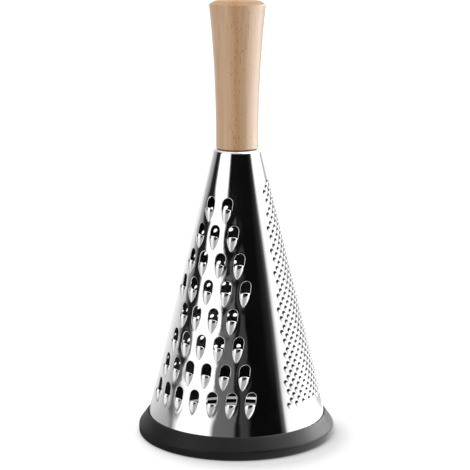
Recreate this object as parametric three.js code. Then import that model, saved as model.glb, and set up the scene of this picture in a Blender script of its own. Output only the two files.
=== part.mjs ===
// Cone grater: a rolled steel cone with three grating faces, a beech handle and a rubber foot ring.
// Millimetres, +Z up, origin in the middle of the underside. Azimuth 0 faces -Y and grows towards +X.

import * as THREE from 'three';

// Fits
const SEAT_GAP = 0.3;
const SCREW_CLEARANCE = 0.3;

// Steel cone
const SHEET = 0.6;
const CONE_FOOT_RADIUS = 52.9;
const CONE_TOP_RADIUS = 13.07;
const CONE_HEIGHT = 162.3;
const HEM_HEIGHT = 2.5;
const SHOULDER_RADIUS = 2;
const NECK_HOLE_RADIUS = 7;
const NECK_BAND = 10;
const SHOULDER_STEPS = 2;

// Faces of the cone
const FACE_COUNT = 3;
const COARSE_FACE_AZIMUTH = THREE.MathUtils.degToRad(-30.8);
const COLUMNS_PER_FACE = 12;
const WIDEST_STEP = THREE.MathUtils.degToRad(13);

// Coarse face: arched openings, each over a scooped tooth. Rows are listed from the foot up
const COARSE_COUNTS = [7, 6, 5, 4, 5, 4, 3, 2];
const COARSE_FIRST_ROW = 20.15;
const COARSE_OPENING_WIDTH = 5.7;
const COARSE_OPENING_HEIGHT = 7.2;
const COARSE_BRIDGE = 5.1;
const COARSE_TOOTH_LENGTH = 6.6;
const COARSE_TOOTH_LIFT = 2;
const COARSE_LIP_RISE = 1.2;
const COARSE_LAND = 0.97;
const COARSE_TOP_MARGIN = 20;
const COARSE_SIDE_MARGIN = 4;
const ARCH_STEPS = 4;
const TOOTH_WAIST = 0.78;
const TOOTH_FLANK = 0.5;
const LIP_FLANK = 0.6;

// Fine face: small burst openings in staggered rows
const FINE_FIRST_ROW = 25.4;
const FINE_OPENING_WIDTH = 2.2;
const FINE_OPENING_HEIGHT = 1.4;
const FINE_BRIDGE = 3.42;
const FINE_LAND = 2;
const FINE_LIFT = 0.6;
const FINE_TOP_MARGIN = 17;
const FINE_SIDE_MARGIN = 6.6;

// Medium face: small openings in straight columns
const MEDIUM_FIRST_ROW = 28.4;
const MEDIUM_OPENING_WIDTH = 2.6;
const MEDIUM_OPENING_HEIGHT = 2.6;
const MEDIUM_BRIDGE = 2.15;
const MEDIUM_LAND = 4.2;
const MEDIUM_LIFT = 1;
const MEDIUM_TOP_MARGIN = 30;
const MEDIUM_SIDE_MARGIN = 14;

// Rubber foot ring
const RING_HEIGHT = 11.87;
const RING_FLOOR = 0.8;
const RING_WALL = 2.8;
const RING_FOOT_ROUND = 1.5;
const RING_SIDE_HEIGHT = 5;
const RING_TOP_LIP = 0.6;
const RING_FLANGE = 1.5;

// Cup inside the neck, which the handle screw pulls up
const CUP_THICKNESS = 1.2;
const CUP_SKIRT = 5;

// Handle screw and washer
const SHANK_RADIUS = 2.1;
const SCREW_LENGTH = 34;
const SCREW_TIP = 4;
const HEAD_RADIUS = 3.9;
const HEAD_HEIGHT = 2.6;
const WASHER_RADIUS = 5.5;
const WASHER_THICKNESS = 1;

// Beech handle
const HANDLE_LENGTH = 81.3;
const HANDLE_WAIST_RADIUS = 11.75;
const HANDLE_TOP_RADIUS = 15.7;
const HANDLE_FLARE_POWER = 2.2;
const HANDLE_FLARE_STEPS = 8;
const HANDLE_BOTTOM_CHAMFER = 0.7;
const HANDLE_TOP_CHAMFER = 2.8;
const HANDLE_TOP_LAND = 11.2;

// Facets round each turned piece
const RING_FACETS = 48;
const HANDLE_FACETS = 28;
const CUP_FACETS = 24;
const SCREW_FACETS = 16;
const ROUND_STEPS = 3;

// Places that follow from the sizes
const FULL_TURN = 2 * Math.PI;
const CONE_FOOT = RING_FLOOR + SEAT_GAP;
const CONE_TOP = CONE_FOOT + CONE_HEIGHT;
const HALF_ANGLE = Math.atan((CONE_FOOT_RADIUS - CONE_TOP_RADIUS) / CONE_HEIGHT);
const SHOULDER_CENTRE_RADIUS =
  CONE_TOP_RADIUS - SHOULDER_RADIUS * Math.tan((Math.PI / 2 - HALF_ANGLE) / 2);
const SHOULDER_CENTRE_HEIGHT = CONE_TOP - SHOULDER_RADIUS;
const WALL_BOTTOM = RING_HEIGHT;
const WALL_TOP = SHOULDER_CENTRE_HEIGHT + SHOULDER_RADIUS * Math.sin(HALF_ANGLE);
const FACE_ANGLE = FULL_TURN / FACE_COUNT;
const COLUMN_ANGLE = FACE_ANGLE / COLUMNS_PER_FACE;
const FACE_SIDE = (FACE_ANGLE - COLUMN_ANGLE) / 2;

// Radius of the steel's outer face at a height, less an inset measured square to the sheet
function wallRadius(z, inset = 0) {
  const outer = CONE_FOOT_RADIUS - (z - CONE_FOOT) * Math.tan(HALF_ANGLE);
  return outer - inset / Math.cos(HALF_ANGLE);
}

// Sheet mesh: vertices and triangles of the grater cone, filled by the functions below
const sheetPositions = [];
const sheetTriangles = [];

function addVertex(azimuth, radius, z) {
  sheetPositions.push(radius * Math.sin(azimuth), -radius * Math.cos(azimuth), z);
  return sheetPositions.length / 3 - 1;
}

// A place on the cone's wall, lifted square to it, with a vertex on each face of the sheet.
// At a sharp place the two faces meet in one vertex
function sheetPoint(azimuth, z, lift = 0, sharp = false) {
  const vertexAt = (out) =>
    addVertex(azimuth, wallRadius(z) + out * Math.cos(HALF_ANGLE), z + out * Math.sin(HALF_ANGLE));
  const outer = vertexAt(lift);
  const inner = sharp ? outer : vertexAt(lift - SHEET);
  return { azimuth, z, outer, inner };
}

function addSheetTriangle(a, b, c) {
  sheetTriangles.push([a.outer, b.outer, c.outer], [c.inner, b.inner, a.inner]);
}

// The cut edge of the sheet along a run of points, with the opening on the run's right-hand side
function addCutEdge(run) {
  for (let k = 1; k < run.length; k += 1) {
    const p = run[k - 1];
    const q = run[k];
    if (q.inner !== q.outer) {
      sheetTriangles.push([q.outer, p.outer, q.inner]);
    }
    if (p.inner !== p.outer) {
      sheetTriangles.push([p.outer, p.inner, q.inner]);
    }
  }
}

// Place of a point on the sheet laid flat
function flatten(point) {
  const distance = wallRadius(point.z) / Math.sin(HALF_ANGLE);
  const angle = point.azimuth * Math.sin(HALF_ANGLE);
  return new THREE.Vector2(distance * Math.sin(angle), -distance * Math.cos(angle));
}

function turnsLeft(a, b, c) {
  return (b.x - a.x) * (c.y - a.y) - (b.y - a.y) * (c.x - a.x) > 0;
}

// Fills the sheet between two runs of points, the second on the left of the first, with the shortest
// edges across that fold nothing over
function stitch(first, second) {
  const FOLD_COST = 1e6;
  const a = first.map(flatten);
  const b = second.map(flatten);
  const cost = a.map(() => new Array(b.length).fill(Infinity));
  const stepsFirst = a.map(() => new Array(b.length).fill(false));
  cost[0][0] = 0;
  for (let i = 0; i < a.length; i += 1) {
    for (let j = 0; j < b.length; j += 1) {
      const across = a[i].distanceTo(b[j]);
      if (i > 0) {
        const fold = turnsLeft(a[i - 1], a[i], b[j]) ? 0 : FOLD_COST;
        const total = cost[i - 1][j] + across + fold;
        if (total < cost[i][j]) {
          cost[i][j] = total;
          stepsFirst[i][j] = true;
        }
      }
      if (j > 0) {
        const fold = turnsLeft(a[i], b[j], b[j - 1]) ? 0 : FOLD_COST;
        const total = cost[i][j - 1] + across + fold;
        if (total < cost[i][j]) {
          cost[i][j] = total;
          stepsFirst[i][j] = false;
        }
      }
    }
  }
  let i = a.length - 1;
  let j = b.length - 1;
  while (i > 0 || j > 0) {
    if (stepsFirst[i][j]) {
      addSheetTriangle(first[i - 1], first[i], second[j]);
      i -= 1;
    } else {
      addSheetTriangle(first[i], second[j], second[j - 1]);
      j -= 1;
    }
  }
}

// One level of a face from side to side. Each feature has a run of points along its lower edge and
// one along its upper edge, which share their ends
function level(centre, z, features) {
  const start = sheetPoint(centre - FACE_SIDE, z);
  const lower = [start];
  const upper = [start];
  const fillTo = (azimuth) => {
    const from = lower.at(-1).azimuth;
    const steps = Math.ceil((azimuth - from) / WIDEST_STEP);
    for (let step = 1; step < steps; step += 1) {
      const filler = sheetPoint(from + ((azimuth - from) * step) / steps, z);
      lower.push(filler);
      upper.push(filler);
    }
  };
  for (const feature of features) {
    fillTo(feature.below[0].azimuth);
    lower.push(...feature.below);
    upper.push(...feature.above);
  }
  fillTo(centre + FACE_SIDE);
  const end = sheetPoint(centre + FACE_SIDE, z);
  lower.push(end);
  upper.push(end);
  return { lower, upper };
}

// An opening through the sheet between its lower and upper edges
function opening(below, above) {
  addCutEdge(above);
  addCutEdge([...below].reverse());
  return { below, above };
}

// Columns of a row, as distances along the wall from the middle of the face, that fit beside its margin
function columns(z, pitch, shift, margin) {
  const room = (wallRadius(z) * FACE_ANGLE) / 2 - margin;
  const first = Math.ceil((-room - shift) / pitch);
  const last = Math.floor((room - shift) / pitch);
  const places = [];
  for (let column = first; column <= last; column += 1) {
    places.push(column * pitch + shift);
  }
  return places;
}

// A scooped tooth under an arched opening, as three levels from the tooth's tip to the opening
function coarseRow(centre, z, count) {
  const pitch = COARSE_OPENING_WIDTH + COARSE_BRIDGE;
  const shift = count % 2 === 0 ? pitch / 2 : 0;
  const half = COARSE_OPENING_WIDTH / 2;
  const lipHeight = z + COARSE_TOOTH_LENGTH;
  const middleHeight = z + COARSE_TOOTH_LENGTH / 2;
  const archHeight = lipHeight + COARSE_OPENING_HEIGHT - half;
  const at = (along, height, lift) =>
    sheetPoint(centre + along / wallRadius(height), height, lift);
  const tips = [];
  const bodies = [];
  const openings = [];
  const places = columns(lipHeight, pitch, shift, COARSE_SIDE_MARGIN + half);
  for (const place of places.filter((along) => Math.abs(along) < (count * pitch) / 2)) {
    const tip = [at(place, z, 0)];
    tips.push({ below: tip, above: tip });

    const body = [-TOOTH_WAIST, -TOOTH_FLANK, 0, TOOTH_FLANK, TOOTH_WAIST].map((share) =>
      at(place + share * half, middleHeight, COARSE_TOOTH_LIFT * (TOOTH_WAIST ** 2 - share ** 2)),
    );
    bodies.push({ below: body, above: body });

    const left = at(place - half, lipHeight, 0);
    const right = at(place + half, lipHeight, 0);
    const lip = [-LIP_FLANK, 0, LIP_FLANK].map((share) => {
      const bow = Math.sqrt(1 - share ** 2);
      return at(place + share * half, lipHeight + COARSE_LIP_RISE * bow, COARSE_TOOTH_LIFT * bow);
    });
    const arch = [];
    for (let step = 0; step <= ARCH_STEPS; step += 1) {
      const angle = Math.PI * (1 - step / ARCH_STEPS);
      arch.push(at(place + half * Math.cos(angle), archHeight + half * Math.sin(angle), 0));
    }
    openings.push(opening([left, ...lip, right], [left, ...arch, right]));
  }
  return [
    level(centre, z, tips),
    level(centre, middleHeight, bodies),
    level(centre, lipHeight, openings),
  ];
}

function coarseLevels(centre) {
  const pitch = COARSE_OPENING_HEIGHT + COARSE_TOOTH_LENGTH + COARSE_LAND;
  const first = CONE_FOOT + COARSE_FIRST_ROW;
  const top = CONE_TOP - COARSE_TOP_MARGIN - COARSE_TOOTH_LENGTH;
  const rows = COARSE_COUNTS.map((count, row) => ({ count, z: first + row * pitch }));
  return rows.filter((row) => row.z < top).flatMap((row) => coarseRow(centre, row.z, row.count));
}

// A burst opening whose lower edge is torn out to a point
function fineOpening(centre, along, z) {
  const half = FINE_OPENING_WIDTH / 2;
  const at = (offset) => centre + (along + offset) / wallRadius(z);
  const left = sheetPoint(at(-half), z);
  const right = sheetPoint(at(half), z);
  const burr = sheetPoint(at(0), z - FINE_OPENING_HEIGHT, FINE_LIFT, true);
  return opening([left, burr, right], [left, right]);
}

function fineLevels(centre) {
  const pitch = FINE_OPENING_WIDTH + FINE_BRIDGE;
  const rowPitch = FINE_OPENING_HEIGHT + FINE_LAND;
  const first = CONE_FOOT + FINE_FIRST_ROW + FINE_OPENING_HEIGHT;
  const rowCount = Math.floor((CONE_TOP - FINE_TOP_MARGIN - first) / rowPitch);
  const levels = [level(centre, first - rowPitch, [])];
  for (let row = 0; row < rowCount; row += 1) {
    const z = first + row * rowPitch;
    const places = columns(z, pitch, (row % 2 === 0 ? pitch : 0) / 2, FINE_SIDE_MARGIN);
    levels.push(level(centre, z, places.map((along) => fineOpening(centre, along, z))));
  }
  return levels;
}

// A four-sided opening whose lower corner is raised
function mediumOpening(centre, along, z) {
  const half = MEDIUM_OPENING_WIDTH / 2;
  const rise = MEDIUM_OPENING_HEIGHT / 2;
  const at = (offset) => centre + (along + offset) / wallRadius(z);
  const left = sheetPoint(at(-half), z);
  const right = sheetPoint(at(half), z);
  const top = sheetPoint(at(0), z + rise);
  const burr = sheetPoint(at(0), z - rise, MEDIUM_LIFT, true);
  return opening([left, burr, right], [left, top, right]);
}

function mediumLevels(centre) {
  const pitch = MEDIUM_OPENING_WIDTH + MEDIUM_BRIDGE;
  const rowPitch = MEDIUM_OPENING_HEIGHT + MEDIUM_LAND;
  const first = CONE_FOOT + MEDIUM_FIRST_ROW + MEDIUM_OPENING_HEIGHT / 2;
  const rowCount = Math.floor((CONE_TOP - MEDIUM_TOP_MARGIN - first) / rowPitch);
  const levels = [level(centre, first - rowPitch, [])];
  for (let row = 0; row < rowCount; row += 1) {
    const z = first + row * rowPitch;
    const places = columns(z, pitch, 0, MEDIUM_SIDE_MARGIN);
    levels.push(level(centre, z, places.map((along) => mediumOpening(centre, along, z))));
  }
  return levels;
}

function columnAzimuths(centre) {
  return Array.from({ length: COLUMNS_PER_FACE }, (_, k) => centre - FACE_SIDE + k * COLUMN_ANGLE);
}

function plainLevel(centre, z) {
  const points = columnAzimuths(centre).map((azimuth) => sheetPoint(azimuth, z));
  return { lower: points, upper: points };
}

// A face with its plain foot and neck, and its two sides from the foot up
function buildFace(centre, levels) {
  const bottom = plainLevel(centre, WALL_BOTTOM);
  const neck = plainLevel(centre, WALL_TOP - NECK_BAND);
  const top = plainLevel(centre, WALL_TOP);
  const all = [bottom, ...levels, neck, top];
  for (let k = 1; k < all.length; k += 1) {
    stitch(all[k - 1].upper, all[k].lower);
  }
  return {
    bottom: bottom.lower,
    top: top.lower,
    left: all.map((each) => each.lower[0]),
    right: all.map((each) => each.lower.at(-1)),
  };
}

// Bands of the sheet's plain hem and shoulder, round the whole cone
function addBands(rings) {
  for (let k = 1; k < rings.length; k += 1) {
    const from = rings[k - 1];
    const to = rings[k];
    from.forEach((vertex, column) => {
      const next = (column + 1) % from.length;
      sheetTriangles.push([vertex, from[next], to[next]], [vertex, to[next], to[column]]);
    });
  }
}

function graterConeGeometry() {
  const centres = Array.from({ length: FACE_COUNT }, (_, k) => COARSE_FACE_AZIMUTH + k * FACE_ANGLE);
  const faces = [
    buildFace(centres[0], coarseLevels(centres[0])),
    buildFace(centres[1], fineLevels(centres[1])),
    buildFace(centres[2], mediumLevels(centres[2])),
  ];
  faces.forEach((face, k) => {
    const next = faces[(k + 1) % FACE_COUNT];
    const turn = k + 1 === FACE_COUNT ? FULL_TURN : 0;
    const nextSide = next.left.map((point) => ({ ...point, azimuth: point.azimuth + turn }));
    stitch(nextSide, face.right);
  });

  const azimuths = centres.flatMap(columnAzimuths);
  const ring = (radius, z) => azimuths.map((azimuth) => addVertex(azimuth, radius, z));
  const arc = (radius, share) => {
    const angle = HALF_ANGLE + share * (Math.PI / 2 - HALF_ANGLE);
    const across = SHOULDER_CENTRE_RADIUS + radius * Math.cos(angle);
    return ring(across, SHOULDER_CENTRE_HEIGHT + radius * Math.sin(angle));
  };
  const shares = Array.from({ length: SHOULDER_STEPS }, (_, k) => (k + 1) / SHOULDER_STEPS);
  addBands([
    faces.flatMap((face) => face.top.map((point) => point.outer)),
    ...shares.map((share) => arc(SHOULDER_RADIUS, share)),
    ring(NECK_HOLE_RADIUS, CONE_TOP),
    ring(NECK_HOLE_RADIUS, CONE_TOP - SHEET),
    ...shares.map((share) => arc(SHOULDER_RADIUS - SHEET, share)).reverse(),
    faces.flatMap((face) => face.top.map((point) => point.inner)),
  ]);

  const hemTop = CONE_FOOT + HEM_HEIGHT;
  addBands([
    faces.flatMap((face) => face.bottom.map((point) => point.inner)),
    ring(wallRadius(hemTop, SHEET), hemTop),
    ring(wallRadius(hemTop, 2 * SHEET), hemTop),
    ring(wallRadius(CONE_FOOT, 2 * SHEET), CONE_FOOT),
    ring(wallRadius(CONE_FOOT), CONE_FOOT),
    faces.flatMap((face) => face.bottom.map((point) => point.outer)),
  ]);

  const geometry = new THREE.BufferGeometry();
  geometry.setAttribute('position', new THREE.Float32BufferAttribute(sheetPositions, 3));
  geometry.setIndex(sheetTriangles.flat());
  geometry.computeVertexNormals();
  return geometry;
}

// A piece turned about Z from its profile, which has radius as x and height as y
function turned(profile, facets) {
  const geometry = new THREE.LatheGeometry(profile.getPoints(ROUND_STEPS), facets);
  return geometry.rotateX(Math.PI / 2);
}

function footRingGeometry() {
  const sideRadius = CONE_FOOT_RADIUS + SEAT_GAP + RING_WALL;
  const topRadius = wallRadius(RING_HEIGHT, -SEAT_GAP);
  const innerRadius = wallRadius(CONE_FOOT, 2 * SHEET) - RING_FLANGE;
  const profile = new THREE.Path();
  profile.moveTo(innerRadius, 0);
  profile.lineTo(sideRadius - RING_FOOT_ROUND, 0);
  profile.quadraticCurveTo(sideRadius, 0, sideRadius, RING_FOOT_ROUND);
  profile.lineTo(sideRadius, RING_SIDE_HEIGHT);
  profile.lineTo(topRadius + RING_TOP_LIP, RING_HEIGHT);
  profile.lineTo(topRadius, RING_HEIGHT);
  profile.lineTo(wallRadius(RING_FLOOR, -SEAT_GAP), RING_FLOOR);
  profile.lineTo(innerRadius, RING_FLOOR);
  profile.lineTo(innerRadius, 0);
  return turned(profile, RING_FACETS);
}

// Heights below the cone's top of the pieces that the handle screw draws together
const CUP_TOP = -SHEET - SEAT_GAP;
const WASHER_TOP = CUP_TOP - CUP_THICKNESS - SEAT_GAP;
const HEAD_TOP = WASHER_TOP - WASHER_THICKNESS - SEAT_GAP;
const SCREW_HOLE_RADIUS = SHANK_RADIUS + SCREW_CLEARANCE;

function neckCupGeometry() {
  const skirtTop = CUP_TOP - CUP_THICKNESS;
  const skirtFoot = skirtTop - CUP_SKIRT;
  const outside = (height) => wallRadius(CONE_TOP + height, SHEET + SEAT_GAP);
  const inside = (height) => wallRadius(CONE_TOP + height, SHEET + SEAT_GAP + CUP_THICKNESS);
  const profile = new THREE.Path();
  profile.moveTo(SCREW_HOLE_RADIUS, skirtTop);
  profile.lineTo(inside(skirtTop), skirtTop);
  profile.lineTo(inside(skirtFoot), skirtFoot);
  profile.lineTo(outside(skirtFoot), skirtFoot);
  profile.lineTo(outside(skirtTop), skirtTop);
  profile.lineTo(SHOULDER_CENTRE_RADIUS, CUP_TOP);
  profile.lineTo(SCREW_HOLE_RADIUS, CUP_TOP);
  profile.lineTo(SCREW_HOLE_RADIUS, skirtTop);
  return turned(profile, CUP_FACETS);
}

function washerGeometry() {
  const profile = new THREE.Path();
  profile.moveTo(SCREW_HOLE_RADIUS, WASHER_TOP - WASHER_THICKNESS);
  profile.lineTo(WASHER_RADIUS, WASHER_TOP - WASHER_THICKNESS);
  profile.lineTo(WASHER_RADIUS, WASHER_TOP);
  profile.lineTo(SCREW_HOLE_RADIUS, WASHER_TOP);
  profile.lineTo(SCREW_HOLE_RADIUS, WASHER_TOP - WASHER_THICKNESS);
  return turned(profile, CUP_FACETS);
}

function screwGeometry() {
  const tip = HEAD_TOP + SCREW_LENGTH;
  const profile = new THREE.Path();
  profile.moveTo(0, HEAD_TOP - HEAD_HEIGHT);
  profile.quadraticCurveTo(HEAD_RADIUS, HEAD_TOP - HEAD_HEIGHT, HEAD_RADIUS, HEAD_TOP);
  profile.lineTo(SHANK_RADIUS, HEAD_TOP);
  profile.lineTo(SHANK_RADIUS, tip - SCREW_TIP);
  profile.lineTo(0, tip);
  return turned(profile, SCREW_FACETS);
}

function handleGeometry() {
  const foot = SEAT_GAP;
  const head = foot + HANDLE_LENGTH;
  const flareTop = head - HANDLE_TOP_CHAMFER;
  const flareFoot = foot + HANDLE_BOTTOM_CHAMFER;
  const boreTop = HEAD_TOP + SCREW_LENGTH + SEAT_GAP;
  const profile = new THREE.Path();
  profile.moveTo(0, boreTop);
  profile.lineTo(SCREW_HOLE_RADIUS, boreTop);
  profile.lineTo(SCREW_HOLE_RADIUS, foot);
  profile.lineTo(HANDLE_WAIST_RADIUS - HANDLE_BOTTOM_CHAMFER, foot);
  for (let step = 0; step <= HANDLE_FLARE_STEPS; step += 1) {
    const share = step / HANDLE_FLARE_STEPS;
    const flare = (HANDLE_TOP_RADIUS - HANDLE_WAIST_RADIUS) * share ** HANDLE_FLARE_POWER;
    profile.lineTo(HANDLE_WAIST_RADIUS + flare, flareFoot + (flareTop - flareFoot) * share);
  }
  profile.lineTo(HANDLE_TOP_LAND, head);
  profile.lineTo(0, head);
  return turned(profile, HANDLE_FACETS);
}

// Materials as photographed
const POLISHED_STEEL = { color: 0xc9cbcc, roughness: 0.08, metalness: 1 };
const PLAIN_STEEL = { color: 0xa8aaab, roughness: 0.35, metalness: 1 };
const BEECH = { color: 0xcfa374, roughness: 0.55, metalness: 0 };
const BLACK_RUBBER = { color: 0x232322, roughness: 0.6, metalness: 0 };

function piece(name, geometry, finish) {
  const mesh = new THREE.Mesh(geometry, new THREE.MeshStandardMaterial(finish));
  mesh.name = name;
  return mesh;
}

// The grater, with the grip group standing on the cone's top
const coneGrater = new THREE.Group();
coneGrater.add(piece('grater_cone', graterConeGeometry(), POLISHED_STEEL));
coneGrater.add(piece('foot_ring', footRingGeometry(), BLACK_RUBBER));

const grip = new THREE.Group();
grip.position.z = CONE_TOP;
grip.add(piece('handle', handleGeometry(), BEECH));
grip.add(piece('neck_cup', neckCupGeometry(), PLAIN_STEEL));
grip.add(piece('screw_washer', washerGeometry(), PLAIN_STEEL));
grip.add(piece('handle_screw', screwGeometry(), PLAIN_STEEL));
coneGrater.add(grip);

export default coneGrater;
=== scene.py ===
"""Looks of the cone grater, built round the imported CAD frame.

The pieces are sized in millimetres, as in the part's source, and become metres when a mesh is
made. The floor, the lamp and the materials are sized in metres.
Azimuth 0 faces -Y, where the camera stands, and grows towards +X.
"""
import math
from functools import partial

import bpy
import numpy as np
from mathutils import Matrix, Vector, geometry


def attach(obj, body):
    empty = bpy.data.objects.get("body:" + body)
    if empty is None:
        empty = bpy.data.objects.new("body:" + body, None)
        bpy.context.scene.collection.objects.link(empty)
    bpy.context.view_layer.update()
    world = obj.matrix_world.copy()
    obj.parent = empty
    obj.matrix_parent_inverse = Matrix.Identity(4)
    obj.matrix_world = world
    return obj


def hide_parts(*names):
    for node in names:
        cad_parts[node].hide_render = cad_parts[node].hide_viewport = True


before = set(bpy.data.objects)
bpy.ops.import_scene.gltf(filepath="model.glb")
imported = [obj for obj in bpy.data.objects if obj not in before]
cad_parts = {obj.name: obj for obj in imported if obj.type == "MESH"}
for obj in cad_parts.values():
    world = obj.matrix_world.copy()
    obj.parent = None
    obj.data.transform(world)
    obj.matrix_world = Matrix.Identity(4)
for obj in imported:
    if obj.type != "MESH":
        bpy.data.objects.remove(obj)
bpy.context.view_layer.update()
scene = bpy.context.scene

MM = 0.001
FULL_TURN = 2 * math.pi
TINY = 1e-6
LEAST_LENGTH = 1e-12

# Steel cone
SHEET = 0.6
CONE_FOOT = 1.1
CONE_TOP = 163.4
CONE_FOOT_RADIUS = 52.9
CONE_TOP_RADIUS = 13.07
HEM_HEIGHT = 2.5
HEM_STEPS = 8
SHOULDER_RADIUS = 2
SHOULDER_STEPS = 10
NECK_HOLE_RADIUS = 7
SLOPE = (CONE_FOOT_RADIUS - CONE_TOP_RADIUS) / (CONE_TOP - CONE_FOOT)
HALF_ANGLE = math.atan(SLOPE)
SHOULDER_TANGENT = SHOULDER_RADIUS * math.tan((math.pi / 2 - HALF_ANGLE) / 2)
SHOULDER_CENTRE_RADIUS = CONE_TOP_RADIUS - SHOULDER_TANGENT
SHOULDER_CENTRE_HEIGHT = CONE_TOP - SHOULDER_RADIUS
WALL_TOP = SHOULDER_CENTRE_HEIGHT + SHOULDER_RADIUS * math.sin(HALF_ANGLE)

# Faces of the cone, with the welded seam on the far side from the coarse face
FACE_COUNT = 3
COARSE_AZIMUTH = math.radians(-30.8)
FINE_AZIMUTH = COARSE_AZIMUTH + FULL_TURN / FACE_COUNT
MEDIUM_AZIMUTH = COARSE_AZIMUTH - FULL_TURN / FACE_COUNT
SEAM_AZIMUTH = COARSE_AZIMUTH + math.pi

# Rows of teeth. The fine rows are staggered and drift sideways as they go up, and the lowest of
# them reach nearer to the sides of their face
COARSE_COUNTS = [7, 6, 5, 4, 5, 4, 3, 2]
COARSE_FIRST_ROW = 27.85
COARSE_ROW_PITCH = 14.77
COARSE_PITCH = 10.8
FINE_ROWS = 50
FINE_FIRST_ROW = 25.6
FINE_ROW_PITCH = 2.439
FINE_PITCH = 6.006
FINE_SHIFT = 0.54
FINE_DRIFT = 0.0585
FINE_LOW_ROWS = 7
FINE_LOW_MARGIN = 6.7
FINE_MARGIN = 7.8
MEDIUM_ROWS = 15
MEDIUM_FIRST_ROW = 30.8
MEDIUM_ROW_PITCH = 6.8
MEDIUM_PITCH = 4.75
MEDIUM_MARGIN = 14

# Shape that all teeth share, and the openings' edges
TOOTH_TAPER = 1.7
TOOTH_TIP = 0.72
SIDE_SHARES = (0.2, 0.6)
LIP_GAP_SHARE = 1 / 12
RIM_DROP = 0.2
RIM_TURN = math.radians(60)
FINE_THROAT = 0.3

# Unevenness of the sheet: waves as (depth, count round the cone, climb), dents round the coarse
# teeth, and the bead of the seam
WAVES = [(0.03, 5, 31), (0.02, 9, -17)]
WAVE_FADE = 4
DENT_DEPTH = 0.07
DENT_HALF_WIDTH = 3.4
DENT_HALF_HEIGHT = 7.4
DENT_MIDDLE = 0.3
DENT_SPREAD = 0.35
DENT_GAPS = (0.7, 1.6)
BEAD_HEIGHT = 0.1
BEAD_WIDTH = 0.6

# Mesh of the sheet
COLUMNS = 240
SHEET_TURNS = np.linspace(SEAM_AZIMUTH - FULL_TURN, SEAM_AZIMUTH, COLUMNS + 1)
SEAM_STEPS = 70
FILLER_STEP = 2.2
FILLER_ROW_SHARE = 0.87
FILLER_MARGIN = 0.8
NORMAL_STEP = 0.01
CREASE_INSET = 0.06
WELD_DIGITS = 4
# Material slots: polished steel, and dull steel whose dark tint is painted shade
POLISHED, DULL = 0, 1

# Rubber foot ring
SEAT_GAP = 0.3
RING_HEIGHT = 11.87
RING_FLOOR = 0.8
RING_WALL = 2.8
RING_FLANGE = 1.5
RING_EDGE = 0.2
RING_FOOT_ROUND = 1.5
RING_SIDE_MIDDLE = 3.2
RING_SIDE_HEIGHT = 5
RING_BEND = 0.9
RING_SLOPE_HEIGHTS = (8, 10, 11.2)
RING_TOP_LIP = 0.6
RING_TOP_ROUND = 0.35
RING_TOP_START = 35
RING_STEPS = 8
RING_COLUMNS = 192
RING_CREASE = 35

# Handle
HANDLE_LENGTH = 81.3
HANDLE_FOOT = CONE_TOP + SEAT_GAP
HANDLE_TOP = HANDLE_FOOT + HANDLE_LENGTH
WAIST_RADIUS = 11.75
HANDLE_TOP_RADIUS = 15.7
FLARE_POWER = 2.2
FLARE_END = 0.985
FLARE_STEPS = 48
GRIP_ROUND = 0.7
GRIP_ROUND_STEPS = 5
GRIP_RINGS = (5, 9)
TOP_CHAMFER = 1.9
TOP_LAND_RADIUS = 12.2
CHAMFER_ROUND = 0.4
LAND_ROUND = 0.5
LAND_RINGS = (8, 4, 0)
END_GRAIN_START = 0.1
BORE_RADIUS = 2.4
BORE_TOP = 192.5
HANDLE_COLUMNS = 144
HANDLE_CREASE = 40

# Camera, from the photograph's outlines
CAMERA_PLACE = (-1.02, -851.7, 283.5)
CAMERA_PITCH = 0.1962
CAMERA_ROLL = 0.0024
FOCAL_PIXELS = 1540.77
IMAGE_PIXELS = 470
SENSOR_WIDTH = 36
CLIP_END = 100


# Meshes

def make_piece(name, vertices, faces, node, normals=None):
    """A smooth mesh object from millimetre vertices that stands for a CAD node."""
    mesh = bpy.data.meshes.new(name)
    mesh.from_pydata((np.asarray(vertices) * MM).tolist(), [], faces)
    mesh.polygons.foreach_set("use_smooth", [True] * len(mesh.polygons))
    if normals is not None:
        mesh.normals_split_custom_set(normals)
    mesh.update()
    piece = bpy.data.objects.new(name, mesh)
    scene.collection.objects.link(piece)
    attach(piece, "root")
    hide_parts(node)
    return piece


def arc(centre, radius, start, end, steps):
    """Points of an arc as (radius, height), with the angles in degrees from the horizontal."""
    angles = np.radians(np.linspace(start, end, steps + 1))
    return [(centre[0] + radius * math.cos(a), centre[1] + radius * math.sin(a)) for a in angles]


def rounded(corner, cut, steps=4):
    """Points that round the middle one of three (radius, height) points, by a cut on each side."""
    before, middle, after = (np.array(p, float) for p in corner)
    start = middle + cut * (before - middle) / np.linalg.norm(before - middle)
    end = middle + cut * (after - middle) / np.linalg.norm(after - middle)
    return [tuple((1 - t) ** 2 * start + 2 * t * (1 - t) * middle + t * t * end)
            for t in np.linspace(0, 1, steps + 1)]


def lathe(profile, columns):
    """Vertices and faces of a closed or axis-ended (radius, height) profile turned about Z."""
    closed = profile[0] == profile[-1]
    ring_profile = profile[:-1] if closed else profile
    angles = np.linspace(0, FULL_TURN, columns, endpoint=False)
    vertices, rings = [], []
    for radius, height in ring_profile:
        if radius < TINY:
            rings.append([len(vertices)] * columns)
            vertices.append((0, 0, height))
        else:
            rings.append(list(range(len(vertices), len(vertices) + columns)))
            vertices += [(radius * math.sin(a), -radius * math.cos(a), height) for a in angles]
    pairs = list(zip(rings, rings[1:])) + ([(rings[-1], rings[0])] if closed else [])
    faces = []
    for low, high in pairs:
        for k in range(columns):
            n = (k + 1) % columns
            corners = [low[k], low[n], high[n], high[k]]
            faces.append([c for i, c in enumerate(corners) if c not in corners[:i]])
    return vertices, faces


def eased(start, end, count):
    """Shares from start to end that lie closer together towards -1 and 1."""
    return np.sin(np.linspace(start, end, count) * math.pi / 2)


# Steel cone: the sheet is meshed flat and rolled up, with every tooth raised from it

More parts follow.
